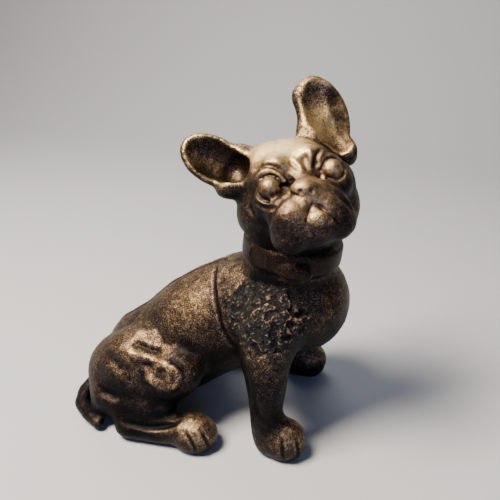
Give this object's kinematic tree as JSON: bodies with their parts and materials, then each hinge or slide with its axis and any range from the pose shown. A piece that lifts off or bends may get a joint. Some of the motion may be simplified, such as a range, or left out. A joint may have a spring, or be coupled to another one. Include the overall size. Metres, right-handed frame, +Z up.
{
  "type": "dog doorstop",
  "caption": "Seated bulldog figure with its head turned aside, cast in two halves joined along the back, whose weight holds a door open.",
  "frame": {"origin": "middle of the figure's box, on the ground under its feet", "axes": "+X the way the dog's body faces, +Y to the dog's left, +Z up; the head is turned to the right, towards -Y"},
  "size_m": [0.158, 0.1106, 0.1898],
  "materials": {
    "right_half": "worn copper-brown patina over black iron, grainy",
    "left_half": "worn copper-brown patina over black iron, grainy"
  },
  "bodies": {
    "root": {"right_half": "right_half", "left_half": "left_half"}
  },
  "joints": []
}
